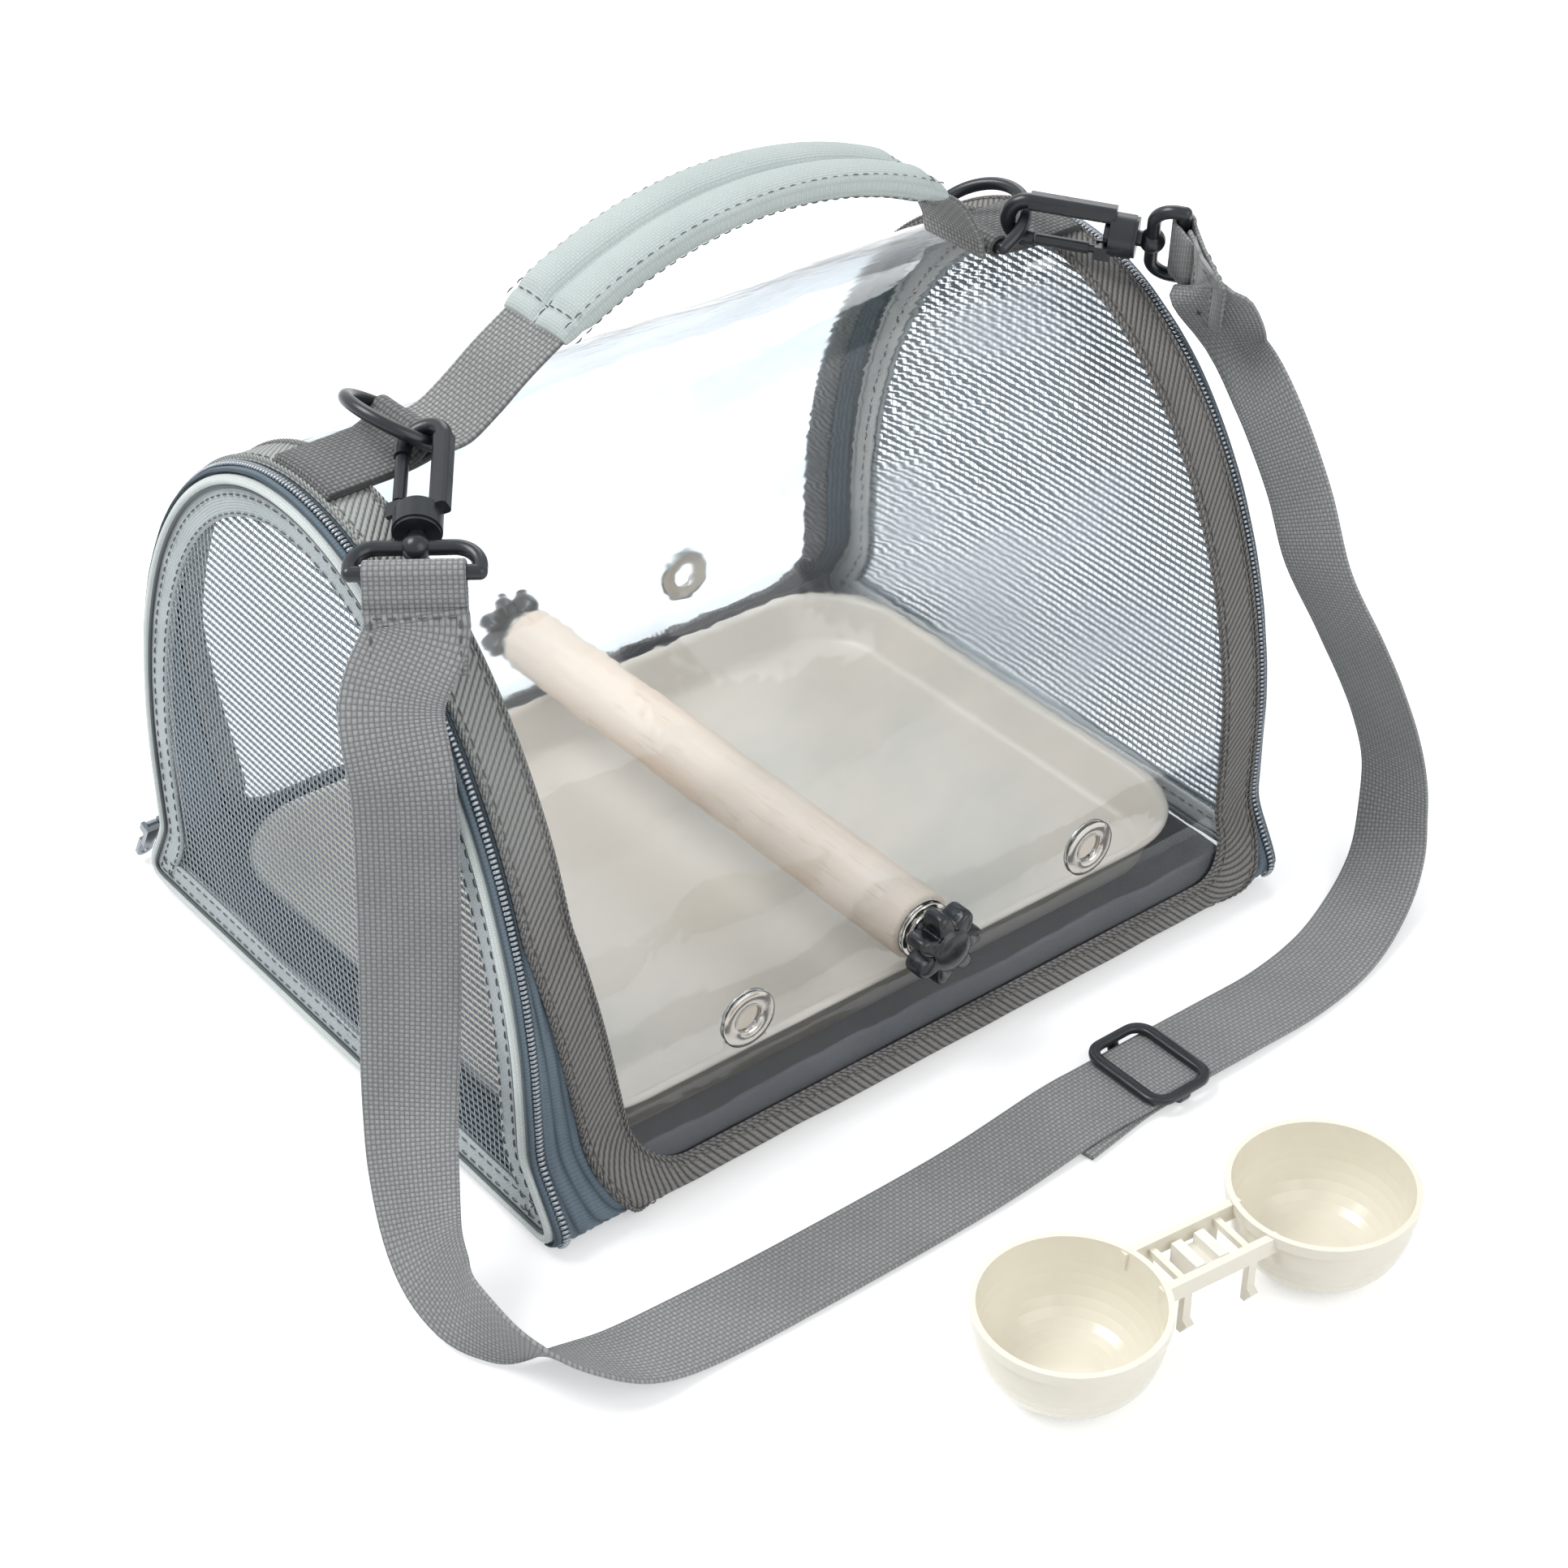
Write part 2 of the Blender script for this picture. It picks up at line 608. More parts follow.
TAPE = fabric("herringbone_tape", "#93918f", "#4a4847", HERRINGBONE, 0.0007, contrast=0.9, faded="#c3c9c6",
              Ribs=430.0, Fold=-0.001, Slope=1.1)
ZIP_CLOTH = fabric("zip_cloth", "#71808b", "#36414b", RIBBING, 0.0003, Cords=420.0, Yarns=900.0)
PIPING = woven("piping_cloth", "#e6ecea", "#9aa6a8", 0.0001, 1500.0, contrast=0.35)
BORDER = woven("door_border_cloth", "#cdd5d6", "#87929a", 0.00015, 1300.0, contrast=0.5)
LINING = woven("seam_lining", "#eceeed", "#a3a5a6", 0.00015, 1200.0, contrast=0.45)
NET = fabric("door_net_yarn", "#7f8b94", "#55606a", RIBBING, 0.0001, Cords=1500.0, Yarns=1500.0, contrast=0.4)
NET_FINE = fabric("door_net_fine_yarn", "#dfe6ea", "#b4bec5", RIBBING, 0.00005, Cords=2500.0, Yarns=1500.0,
                  contrast=0.3)
LINER = woven("dark_liner_cloth", "#66676b", "#3b3c40", 0.00004, 1300.0, sheen=0.05, contrast=0.5)
BASE = woven("base_cloth", "#5f6062", "#333436", 0.0003, 700.0)
STRAP = fabric("strap_webbing", "#a9abab", "#5f6062", WEAVE, 0.0003, Warp=760.0, Weft=900.0, contrast=0.75)
WEBBING = woven("check_webbing", "#b3b4b3", "#58595a", 0.0004, 720.0, contrast=0.85)
TAB_WEBBING = woven("tab_webbing", "#8f9090", "#434445", 0.0004, 720.0, contrast=0.85)
SLEEVE = woven("sleeve_cloth", "#ccd6d4", "#9daaa8", 0.00015, 1250.0, contrast=0.4)
TAPE_THREAD = fabric("tape_thread", "#8f8d8a", "#5a5856", RIBBING, 0.00005, Cords=2000.0, Yarns=2500.0,
                     contrast=0.4)
THREAD_GREY = fabric("grey_thread", "#6e7375", "#3c4042", RIBBING, 0.00005, Cords=2000.0, Yarns=2500.0,
                     contrast=0.3)
HOOK_PLASTIC = plastic("hook_plastic", "#191e23", "#262c32", 0.3, 0.00001, coat=0.1)
KNOB_PLASTIC = plastic("knob_plastic", "#14171a", "#202427", 0.24, 0.00001, coat=0.2)
TRAY_PLASTIC = plastic("tray_plastic", "#d8d0c4", "#c9c0b3", 0.38, 0.00001, 0.3, 1400.0)
FEEDER_CREAM = plastic("feeder_cream", "#efeadb", "#ddd5c2", 0.22, 0.00001, 0.3, scuffs=0.06, coat=0.3)
FEEDER_WHITE = plastic("feeder_white", "#f4f1e8", "#e2dccd", 0.28, 0.00002, 0.3, coat=0.2)
BOARD = plastic("base_board", "#7d7a76", "#5e5b57", 0.8, 0.0001, 0.5, 900.0)
NICKEL = metal("nickel", "#c9c5bf", "#8f8a83", 0.14)
ZIP_METAL = metal("zip_metal", "#9aa0a6", "#70767c", 0.3)
CLEAR = clear_sheet()
BIRCH = birch()


# ---- shoulder strap: the route of part.scad, in metres ----
def square_to(v, w):
    """The part of v that is square to w, at unit length."""
    v, w = np.asarray(v, float), np.asarray(w, float)
    return unit(v - (v @ w) * w)


EYE_DROP = 42.7
LEFT_BEND, RIGHT_BEND = np.array([-96.8, -15.2, RING_Z + 3.6]), np.array([101.5, -13.1, RING_Z + 5])
LEFT_PULL, RIGHT_PULL = unit([-0.58, -0.77, -0.27]), unit([0.62, -0.78, -0.08])
LEFT_EYE, RIGHT_EYE = LEFT_BEND + EYE_DROP * LEFT_PULL, RIGHT_BEND + EYE_DROP * RIGHT_PULL
LEFT_AXIS = square_to([0.876, -0.479, 0.049], LEFT_PULL)
RIGHT_AXIS = square_to([0.105, -0.783, 0.61], RIGHT_PULL)
LEFT_OUT, RIGHT_OUT = square_to([-12, -17, -32], LEFT_AXIS), square_to([-2, -13, -14], RIGHT_AXIS)
STRAP_ROUTE = 0.001 * np.array([
    LEFT_EYE + 3.5 * LEFT_OUT, LEFT_EYE + 9 * LEFT_OUT, LEFT_EYE + 15 * LEFT_OUT, [-137, -59, 148],
    [-142, -70, 128], [-144, -69, 80], [-151, -76, 48], [-157, -85, 34], [-162, -96, 21],
    [-164, -109, 15], [-163, -122, 13.6], [-158, -133, 11.5], [-149, -140, 8], [-136, -144, 3.6],
    [-118, -145, 1.2], [-85, -146, 0.9], [-30, -146, 0.9], [8, -144, 2], [24, -144, 2.2],
    [52, -144, 2.2], [68, -144, 2], [92, -143, 1], [116, -139, 1.1], [138, -131, 3], [154, -123, 8],
    [162, -117, 17], [164, -114, 30], [160, -112, 46], [153, -110, 63], [143, -108, 83],
    [135, -101, 104], [135, -91, 124], [135.5, -77, 143], [136, -62, 157],
    RIGHT_EYE + 15 * RIGHT_OUT, RIGHT_EYE + 9 * RIGHT_OUT, RIGHT_EYE + 3.5 * RIGHT_OUT])
STRAP_WIDTH = np.array([
    LEFT_AXIS, LEFT_AXIS, LEFT_AXIS, [0.8, -0.6, 0], [0.78, -0.62, 0],
    [0.78, -0.62, 0], [0.7, -0.69, 0.2], [0.6, -0.73, 0.33], [0.45, -0.7, 0.55], [0.3, -0.6, 0.74],
    [0.05, -0.3, 0.95], [-0.15, -0.6, 0.78], [-0.3, -0.8, 0.5], [-0.1, -0.97, 0.15], [0, -1, 0],
    [0, -1, 0], [0, -1, 0], [0, -1, 0], [0, -1, 0], [0, -1, 0],
    [0, -1, 0], [0, -1, 0], [0.1, -0.99, 0], [0.15, -0.98, 0.1], [0.15, -0.95, 0.25],
    [0.1, -0.95, 0.3], [0, -0.97, 0.2], [0, -0.97, 0.2], [0, -0.97, 0.25], [0, -0.95, 0.3],
    [0, -0.95, 0.3], [0, -0.9, 0.43], [0, -0.83, 0.55], [-0.1, -0.7, 0.7],
    RIGHT_AXIS, RIGHT_AXIS, RIGHT_AXIS])


def curve_through(points, steps):
    """The spline that part.scad runs through its points, in finer steps."""
    p = np.vstack([points[:1], points, points[-1:]])
    t = np.arange(steps)[:, None] / steps
    parts = [0.5 * (2 * b + (c - a) * t + (2 * a - 5 * b + 4 * c - d) * t ** 2
                    + (3 * b - a - 3 * c + d) * t ** 3)
             for a, b, c, d in zip(p, p[1:], p[2:], p[3:])]
    return np.vstack(parts + [points[-1:]])


def ribbon(name, points, widths, steps, wide, thick, material, body, slot):
    """Flat webbing along points given in millimetres."""
    line, across = (curve_through(np.asarray(row, float), steps) for row in (points, widths))
    way = unit(np.gradient(line, axis=0))
    across = unit(across - (across * way).sum(1, keepdims=True) * way)
    return sweep(name, line, across, np.cross(across, way), rounded(wide, thick), material, body, slot), line


def webbing_fold(eye, axis, out, radius=2.7):
    """The sewn end of the strap: round the eye's bar, with a tail lying under the strap."""
    under = np.cross(axis, out)
    turn = np.radians(np.linspace(52, 308, 25))
    ring = [eye + radius * (math.cos(t) * out + math.sin(t) * under) for t in turn]
    start = [eye + (24 - k) * out + 1.35 * under for k in (0, 5, 10, 14)]
    return np.vstack([start, [eye + 5.6 * out + 1.7 * under], ring,
                      [eye + 5.2 * out - 1.5 * under], [eye + 8 * out - 0.75 * under]])


def add_tri_glide():
    """A rounded frame that lies on the strap, and the bar that the strap goes over."""
    turn = np.radians(np.arange(0, 360, 24))
    line = even(np.array(rounded_rectangle(9.7, 14.0, 4.6, 4.4)), 0.8, closed=True, soften=0.6)
    way = unit(np.roll(line, -1, 0) - np.roll(line, 1, 0))
    across = np.cross(way, [0, 0, 1.0])
    flat = np.abs(across[:, :1])
    profile = [(1.72 * math.copysign(abs(math.cos(t)) ** 0.7, math.cos(t)),
                1.18 * math.copysign(abs(math.sin(t)) ** 0.7, math.sin(t))) for t in turn]
    frame_piece = sweep("glide_frame", line + GLIDE_PLACE, across * (0.84 + 0.16 * flat),
                        np.broadcast_to([0, 0, 1.0], line.shape), profile, HOOK_PLASTIC, "glide",
                        "hook_plastic", closed=True)
    half = [(14.0, 4.2), (14.05, 3.0), (14.0, 1.9), (13.6, 1.0), (12.8, 0.66), (10, 0.6), (0, 0.6)]
    bar_line = np.array([(0, -y, z) for y, z in half] + [(0, y, z) for y, z in half[-2::-1]]) + GLIDE_PLACE
    way = unit(np.gradient(bar_line, axis=0))
    side = np.broadcast_to([1.0, 0, 0], bar_line.shape)
    bar = sweep("glide_bar", bar_line, side, np.cross(side, way), rounded(4, 1.15), HOOK_PLASTIC, "glide",
                "hook_plastic")
    for piece in (frame_piece, bar):
        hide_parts("tri_glide")
    return [frame_piece, bar]


def add_strap():
    strap, line = ribbon("strap_webbing", STRAP_ROUTE / MM, STRAP_WIDTH, 6, WEB_W, STRAP_T, STRAP, "carrier",
                         "webbing")
    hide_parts("shoulder_strap")
    pieces = []
    for side, eye, axis, out in (("left", LEFT_EYE, LEFT_AXIS, LEFT_OUT),
                                 ("right", RIGHT_EYE, RIGHT_AXIS, RIGHT_OUT)):
        fold_line = webbing_fold(eye, axis, out)
        way = unit(np.gradient(fold_line, axis=0))
        flat = np.broadcast_to(axis, fold_line.shape)
        fold = sweep(side + "_webbing_fold", fold_line, flat, np.cross(flat, way),
                     rounded(WEB_W - 0.6, 1.15), STRAP, "carrier", "webbing")
        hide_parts(side + "_strap_fold")
        rows = []
        for face in (1, -1):
            up = np.broadcast_to(face * np.cross(axis, out), (2, 3))
            lift = up * (0.75 if face < 0 else 2.1)
            for reach in (10.5, 21):
                ends = np.array([eye + reach * out + k * 10.5 * axis for k in (-1, 1)])
                rows.append((ends + lift, up, False))
            for k in (-1, 1):
                ends = np.array([eye + reach * out + k * 10.5 * axis for reach in (10.5, 21)])
                rows.append((ends + lift, up, False))
        thread = stitches(side + "_fold_stitches", rows, THREAD_GREY, "carrier", "webbing", 2.2, 0.9, 0.25)
        pieces += [fold, thread, nodes[side + "_strap_eye"]]
    tail_route = [[33, -144.2, 0.85], [24, -144.6, 0.8], [12, -146.2, 0.75], [1, -147.8, 0.75]]
    tail, _ = ribbon("strap_tail", tail_route, [[0, -1, 0]] * len(tail_route), 5, WEB_W - 0.4, 1.15, STRAP,
                     "carrier", "webbing")
    pieces += [tail] + add_tri_glide()
    float(lengths(line)[-1] * MM)


# ---- bottom ----
def add_bottom():
    levels = [(126.2, 96.7, 3.4, 0), (126.8, 97.3, 3.8, 0.3), (127, 97.5, 4, 0.6), (126.8, 97.3, 3.8, 0.95),
              (126.2, 96.7, 3.4, 1.2)]
    base = stacked("base_cloth", [rounded_rectangle(*level) for level in levels], BASE, "carrier",
                   "base_cloth")
    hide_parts("base_fabric")
    # the liner: flat under the tray, puckered round it and turned up at the wall
    folds = noise(26, 11, seed=3)
    across = np.linspace(-1, 1, 105)
    along = np.linspace(-1, 1, 131)
    x, t = np.meshgrid(along * 121.5, across, indexing="ij")
    run = t * 108.5
    y = np.clip(run, -99.5, 99.5)
    rise = np.clip(np.abs(run) - 96, 0, 12.5)
    z = 4.25 + rise * 0.78
    y = y - np.sign(t) * 0.35 * rise
    points = np.stack([x, y, z], -1)
    free = np.clip(np.maximum(np.abs(x) - 112, np.abs(run) - 80) / 9, 0, 1)
    pucker = np.clip(0.5 + 0.5 * folds(points * [1, 0.35, 1]), 0, 1)
    points[..., 2] += free * 2.6 * pucker
    normal = np.broadcast_to([0.0, 0, 1], points.shape)
    liner = cloth("bottom_liner", points, normal, 0.6, x[:, 0], run[0], LINER, "carrier", "base_cloth")
    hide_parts("base_liner")


# ---- clear wall, its tape and the zips ----
def corner_inset(z, top, radius=24):
    """How far the rounded lower corner of a side window comes in at the height z."""
    return radius - np.sqrt(np.clip(radius ** 2 - np.clip(top - z, 0, radius) ** 2, 0, None))


def add_clear_wall():
    foot = height_to_run(5.2)
    s = np.linspace(-foot, foot, 201)
    t = np.linspace(-1, 1, 95)
    z = np.interp(np.abs(s), WALL_RUN, WALL[:, 1])
    corner = corner_inset(z, 29)
    low, high = -SHEET_HALF + lean_at(s) + corner, SHEET_HALF - corner
    x = low[None] + (high - low)[None] * (t[:, None] + 1) / 2
    sway = noise(70, 38, seed=5)
    base, normal = wall(x, s[None], -1.6)
    edge = np.clip((1 - np.abs(t)) / 0.12, 0, 1)[:, None] * np.clip((foot - np.abs(s)) / 40, 0, 1)[None]
    base = base + normal * (sway(base * [1, 0.7, 1]) * edge * 0.9)[..., None]
    middle_x, middle_s = (x[1:, 1:] + x[:-1, :-1]) / 2, np.broadcast_to((s[1:] + s[:-1]) / 2, (94, 200))
    eye_run = height_to_run(PERCH_Z)
    keep = np.ones(middle_x.shape, bool)
    for k in (-1, 0, 1):
        keep &= np.hypot(middle_x - k * EYELET_GAP, np.abs(middle_s) - eye_run) > 6.0
    sheet = cloth("clear_sheet_wall", base, normal, 0.5, t * SHEET_HALF, s, CLEAR, "carrier", "clear_sheet",
                  keep=keep)
    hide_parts("clear_wall")


def tape_edge(reach, foot, radius_x, radius_s, count=60):
    """One edge of the tape as a closed loop in (x, s), its corners rounded, its left end leaning."""
    turn = np.radians(np.linspace(0, 90, 14))
    straight = np.linspace(radius_x - reach, reach - radius_x, count)
    up = np.linspace(radius_s - foot, foot - radius_s, 2 * count)
    side_x, side_s = reach - radius_x, foot - radius_s
    half = [np.stack([np.full_like(up, reach), up], 1),
            np.stack([side_x + radius_x * np.cos(turn), side_s + radius_s * np.sin(turn)], 1),
            np.stack([straight[::-1], np.full_like(straight, foot)], 1),
            np.stack([-side_x - radius_x * np.sin(turn), side_s + radius_s * np.cos(turn)], 1)]
    line = np.vstack([sign * part[:-1] for sign in (1, -1) for part in half])
    share = np.clip((reach - line[:, 0]) / (2 * reach), 0, 1)
    line[:, 0] += lean_at(line[:, 1]) * np.clip((share - 0.35) / 0.5, 0, 1)
    return line


def add_tape():
    inner = tape_edge(TAPE_INNER, height_to_run(13), 14, 14)
    outer = tape_edge(TAPE_OUTER, HALF_RUN, 26, 31)

    def row_at(share, lift):
        line = inner * (1 - share) + outer * share
        where, up = wall(line[:, 0], line[:, 1], lift)
        return where, up, True

    share = np.linspace(0, 1, 9)
    grid = inner[:, None] * (1 - share)[None, :, None] + outer[:, None] * share[None, :, None]
    waver = noise(34, 15, seed=8)
    points, normal = wall(grid[..., 0], grid[..., 1], -0.6)
    points = points + normal * (0.22 * waver(points))[..., None]
    thick = np.broadcast_to(np.array([0.7, 1.15, 1.25, 1.2, 1.2, 1.2, 1.25, 1.15, 0.7]), grid.shape[:2])
    run = lengths(np.vstack([points[:, 4], points[:1, 4]]))
    tape = cloth("edge_tape", points, normal, thick, run, share * (TAPE_OUTER - TAPE_INNER), TAPE, "carrier",
                 "edge_tape", wrap=True)
    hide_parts("edge_binding")
    stitches("tape_stitches", [row_at(0.16, 0.12), row_at(0.84, 0.12)], TAPE_THREAD, "carrier", "edge_tape",
             2.6, 1.3, 0.22)
    stitches("tape_selvedge", [row_at(0.06, -0.15), row_at(0.95, -0.15)], TAPE, "carrier", "edge_tape",
             2.1, -0.35, 0.75)


def add_zip(side):
    sign = -1 if side == "left" else 1
    foot = HALF_RUN - 1
    s = np.linspace(-foot, foot, 361)
    t = np.linspace(0, 1, 41)
    z = np.interp(np.abs(s), WALL_RUN, WALL[:, 1])
    corner = corner_inset(z, 28)
    start = 118.5 - (lean_at(s) if sign < 0 else 0) - corner * 0.9
    x = start[:, None] + (ZIP_END - start)[:, None] * t
    ribs = 0.5 * np.abs(np.sin(math.pi * (ZIP_END - x) / 2.6)) ** 0.7
    puckers = noise(30, 12, seed=21 + sign)
    points, normal = wall(sign * x, s[:, None], -1.9)
    points = points + normal * (ribs + 0.25 * puckers(points))[..., None]
    gusset = cloth(side + "_zip_gusset", points, normal, 0.5, s, t * 12, ZIP_CLOTH, "carrier", "zip_fabric")
    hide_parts(side + "_zip_tape")
    # teeth: a coil's turns along both sides of the split
    step = 1.35
    count = int(2 * (foot - 3) / step)
    half = np.array([(-1.25, -0.1), (-1.05, 0.55), (-0.35, 0.85)])
    profile = np.vstack([half, half[::-1] * [-1, 1]])
    joined = Joined()
    for i in range(count):
        at = 3 - foot + (i + 0.5) * step
        ring = []
        for along in (-0.48, -0.3, 0.3, 0.48):
            size = 0.8 if abs(along) > 0.4 else 1.0
            where, _ = wall(sign * (ZIP_SPLIT + profile[:, 0] * size), at + along,
                            -1.0 + profile[:, 1] * size)
            ring.append(where)
        joined.add(np.vstack(ring), tube_faces(4, 6, [0, 0.2, 0.8, 1], profile[:, 0]))
    teeth = joined.build(side + "_zip_teeth", ZIP_METAL, "carrier", "zip_fabric")
    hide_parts(side + "_zip_coil")


# ---- doors ----
def ring_cloth(name, x, inner_d, outer_d, thick, material, body, slot, seed, swell=0.3, cells=7):
    """A flat sewn ring inside a door's outline, slightly puckered."""
    outer, out = loop(outer_d)
    share = np.linspace(0, 1, cells)
    grid = outer[:, None] - out[:, None] * (share * (inner_d - outer_d))[None, :, None]
    waver = noise(24, 9, seed=seed)
    points = np.stack([np.full(grid.shape[:2], float(x)), grid[..., 0], grid[..., 1]], -1)
    points[..., 0] += swell * waver(points) * np.sin(math.pi * np.clip(share, 0.02, 0.98))[None]
    normal = np.broadcast_to([1.0, 0, 0], points.shape)
    run = lengths(np.vstack([outer, outer[:1]]))
    ring = cloth(name, points, normal, thick, run, share * (inner_d - outer_d), material, body, slot,
                 wrap=True)
    return ring, grid


def add_net(side, sign):
    """The open net: rows and columns of yarn over the whole door, bowed slightly outwards."""
    line, _ = loop(9, step=1.0)
    y, z = line[:, 0], line[:, 1]
    top = z.max()

    def half_at(h):
        ends = line[np.argsort(np.abs(z - h))[:8]]
        return np.abs(ends[:, 0]).max() if 9.5 < h < top - 0.4 else 0

    def bow(points):
        reach = 1 - np.clip(np.hypot(points[..., 1] / 92, (points[..., 2] - 80) / 88), 0, 1) ** 2
        return sign * 2.6 * reach

    def strand(a, b, wide_axis, wide, thick, count):
        path = np.linspace(a, b, count)
        path[:, 2] += 1.1 * np.sin(path[:, 1] / 33 + 0.6 * np.sin(path[:, 2] / 41)) * wide_axis[2]
        path[:, 0] += bow(path)
        profile = np.array([(-wide / 2, 0), (0, thick / 2), (wide / 2, 0), (0, -thick / 2)])
        ring = (path[:, None] + profile[None, :, 0, None] * wide_axis
                + profile[None, :, 1, None] * np.array([1.0, 0, 0]))
        return ring.reshape(-1, 3), tube_faces(count, 4, lengths(path), profile[:, 0])

    joined = Joined()
    x = sign * 127.5
    for h in np.arange(10.5, top - 0.6, 2.35):
        half = half_at(h)
        if half > 4:
            joined.add(*strand((x, -half, h), (x, half, h), np.array([0, 0, 1.0]), 1.3, 0.5,
                               max(4, int(half / 2.5))))
    rows_end = len(joined.faces)
    for at in np.arange(-94.5, 95, 2.1):
        near = line[np.abs(y - at) < 1.2]
        low, high = near[:, 1].min(), near[:, 1].max()
        if high - low > 6:
            joined.add(*strand((x + sign * 0.12, at, low), (x + sign * 0.12, at, high), np.array([0, 1.0, 0]),
                               0.42, 0.22, max(4, int((high - low) / 7))))
    net = joined.build(side + "_net", NET, side + "_door", "mesh_fabric")
    net.data.materials.append(NET_FINE)
    fine = [int(i >= rows_end) for i in range(len(net.data.polygons))]
    net.data.polygons.foreach_set("material_index", fine)
    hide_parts(side + "_door_mesh")
    area = 0.5 * abs(np.sum(y * np.roll(z, -1) - np.roll(y, -1) * z)) * MM ** 2


def add_door(side):
    sign = -1 if side == "left" else 1
    body = side + "_door"
    line, out = loop(4.3, step=1.6)
    turn = np.radians(np.arange(0, 360, 30))
    waver = noise(40, 17, seed=31 + sign)
    path = flat3(sign * 128.4, line)
    path = path + np.array([1.0, 0, 0]) * (0.15 * waver(path))[:, None]
    outward = np.concatenate([np.zeros((len(out), 1)), out], 1)
    across = np.broadcast_to([1.0, 0, 0], outward.shape)
    piping = sweep(side + "_piping", path, across, outward,
                   [(1.75 * math.cos(t), 1.35 * math.sin(t)) for t in turn], PIPING, body, "piping",
                   closed=True)
    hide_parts(side + "_door_piping")
    seam_r = 0.5
    for name, d, x in (("outer", 3.1, 127.0), ("inner", 5.8, 129.2)):
        seam, seam_out = loop(d, step=1.6)
        up = np.concatenate([np.zeros((len(seam_out), 1)), seam_out], 1)
        sweep(f"{side}_piping_{name}_seam", flat3(sign * x, seam), np.broadcast_to([1.0, 0, 0], up.shape), up,
              [(seam_r * math.cos(t), seam_r * math.sin(t)) for t in turn[::2]], THREAD_GREY, body, "piping",
              closed=True)
    border, _ = ring_cloth(side + "_border", sign * 128.3, 14, 5.7, 0.9, BORDER, body, "lining", 41 + sign)
    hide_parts(side + "_door_border")
    lining, grid = ring_cloth(side + "_lining", sign * 126.7, 13, 5.7, 0.8, LINING, body, "lining", 51 + sign,
                              swell=0.7, cells=9)
    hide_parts(side + "_door_lining")
    rows = []
    for at, face in ((2, 1), (6, 1), (5, -1)):
        x = sign * (128.3 + 0.55) if face > 0 else sign * (126.7 - 0.5)
        share = at / (8 if face < 0 else 6)
        loop_line = grid[:, 0] * (1 - share) + grid[:, -1] * share
        path = flat3(x, loop_line)
        rows.append((path, np.broadcast_to([float(sign * face), 0, 0], path.shape), True))
    stitches(side + "_door_stitches", rows, THREAD_GREY, body, "lining", 2.4, 1.4, 0.22)
    add_net(side, sign)


# ---- metal, wood and plastic ----
def eyelet_profile(low, high, wide=8.5, hole=4.2):
    """A rolled eyelet flange between two heights: domed, its outer edge turned down."""
    mid, half = (low + high) / 2, (high - low) / 2
    top = [(hole + (wide - hole) * k, mid + half * (1 - abs(2 * k - 1) ** 2.4))
           for k in np.linspace(0.0, 1, 11)]
    under = [(wide - 0.25, low), ((wide + hole) / 2, low), (hole + 0.3, low)]
    return top + under


def add_eyelets():
    face = ARCH_HALF - 1.2
    for side, sign in FACES:
        profiles, centres = [], []
        for k in (-1, 0, 1):
            for low, high in ((face, face + 1.0), (-(face - 0.8), -(face - 1.6))):
                profiles.append(eyelet_profile(low, high))
                centres.append((k * EYELET_GAP, 0, PERCH_Z))
            profiles.append([(4.2, face - 1.5), (4.2, face + 0.9), (4.9, face + 0.6), (4.9, face - 1.2)])
            centres.append((k * EYELET_GAP, 0, PERCH_Z))
        for k in (1, 4, 7):
            profiles[k] = [(r, -h) for r, h in profiles[k]]
        piece = lathe(side + "_eyelet_rings", profiles, centres, (0, sign, 0), NICKEL, "carrier", "nickel")
        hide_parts(side + "_eyelets")


def add_perch():
    end = ARCH_HALF - 2.8
    half = [(2.6, end - 18), (2.6, end), (8.9, end), (9.6, end - 0.35), (10, end - 1.2), (10, 30)]
    profile = half + [(10, 0)] + [(r, -h) for r, h in half[::-1]]
    rod = lathe("perch_birch", [profile], [(0, 0, PERCH_Z)], (0, 1, 0), BIRCH, "carrier", "wood", 72)
    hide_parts("perch_rod")
    # the knob's rings: height, then a radius, or where lobed is 1 a change of the star's radius
    levels = [(0.15, 7, 0), (1.3, 7.1, 0), (1.45, -0.9, 1), (1.8, -0.35, 1), (2.6, 0, 1), (7.2, 0, 1),
              (8.3, -0.35, 1), (8.85, -1.0, 1), (9.1, -2.2, 1), (9.15, 6.4, 0), (9.7, 6.1, 0), (10.3, 5.2, 0),
              (10.75, 3.4, 0), (10.9, 1.4, 0)]
    for side, sign in FACES:
        rings = []
        turn = np.linspace(0, 2 * math.pi, 141)[:-1]
        lobes = 9.55 + 2.2 * np.cos(7 * turn) - 0.35 * np.cos(14 * turn)
        for height, grow, lobed in levels:
            radius = lobes + grow if lobed else np.full_like(turn, grow)
            y = np.full_like(turn, sign * (ARCH_HALF + 1.1 + height))
            rings.append(np.stack([radius * np.cos(turn), y, PERCH_Z + radius * np.sin(turn)], 1))
        knob = stacked(side + "_star_knob", rings, KNOB_PLASTIC, side + "_knob_body", "black_plastic")
        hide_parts(side + "_knob")


